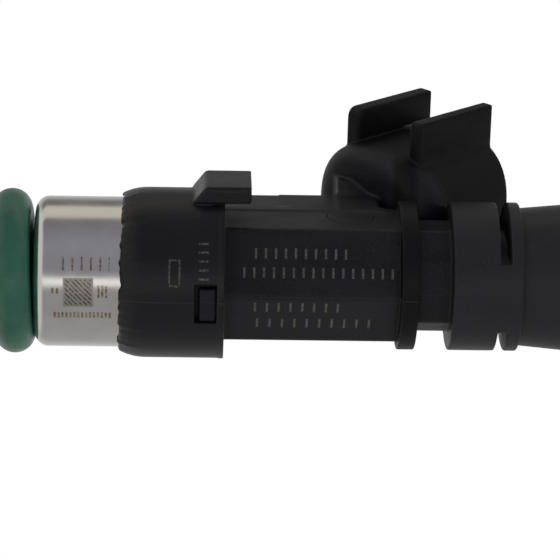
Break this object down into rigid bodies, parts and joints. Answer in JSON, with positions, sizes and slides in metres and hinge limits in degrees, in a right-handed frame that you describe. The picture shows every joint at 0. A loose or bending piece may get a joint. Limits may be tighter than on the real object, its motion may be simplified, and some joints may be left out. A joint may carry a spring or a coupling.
{
  "type": "fuel injector",
  "caption": "Port fuel injector with a top feed: steel housing, six-sided black body, slanted oval socket, sealing rings at both ends and a lifting needle inside.",
  "frame": {"origin": "centre of the tip cap's lower face, on the injector's axis", "axes": "+Z along the injector's axis from the spray tip to the fuel inlet, +X to the side the socket leans to, +Y to the side of the locating tab and the socket's fins"},
  "size_m": [0.0277, 0.0203, 0.071],
  "materials": {
    "body_plastic": "fine spark-eroded texture, satin",
    "ring_plastic": "moulded, slightly smoother than the body",
    "housing_steel": "drawn and polished along the axis",
    "stainless_tube": "bright drawn",
    "cap_plastic": "moulded",
    "green_rubber": "satin fluoro rubber",
    "bobbin_plastic": "moulded",
    "copper_wire": "enamelled",
    "core_steel": "turned",
    "tinned_blade": "tin plated",
    "brass": "drawn",
    "spring_steel": "drawn wire",
    "hard_steel": "ground and lapped",
    "filter_plastic": "moulded",
    "filter_cloth": "fine woven mesh"
  },
  "bodies": {
    "injector": {"overmould": "body_plastic", "locating_ring": "ring_plastic", "magnet_housing": "housing_steel", "fuel_tube": "stainless_tube", "tip_cap": "cap_plastic", "lower_seal": "green_rubber", "upper_seal": "green_rubber", "coil_bobbin": "bobbin_plastic", "coil_winding": "copper_wire", "flux_washer": "core_steel", "terminal_left": "tinned_blade", "terminal_right": "tinned_blade", "pole_core": "core_steel", "adjusting_sleeve": "brass", "return_spring": "spring_steel", "valve_seat": "hard_steel", "spray_disc": "stainless_tube", "filter_collar": "brass", "filter_frame": "filter_plastic", "filter_mesh": "filter_cloth"},
    "needle": {"armature": "core_steel", "valve_needle": "stainless_tube", "valve_ball": "hard_steel"}
  },
  "joints": [
    {"name": "needle_lift", "type": "slide", "parent": "injector", "child": "needle", "axis": [0, 0, 1], "range_m": [0, 0.00009], "stiffness_N_per_m": 2100, "springref_m": -0.0016, "deforming": ["return_spring"]}
  ]
}
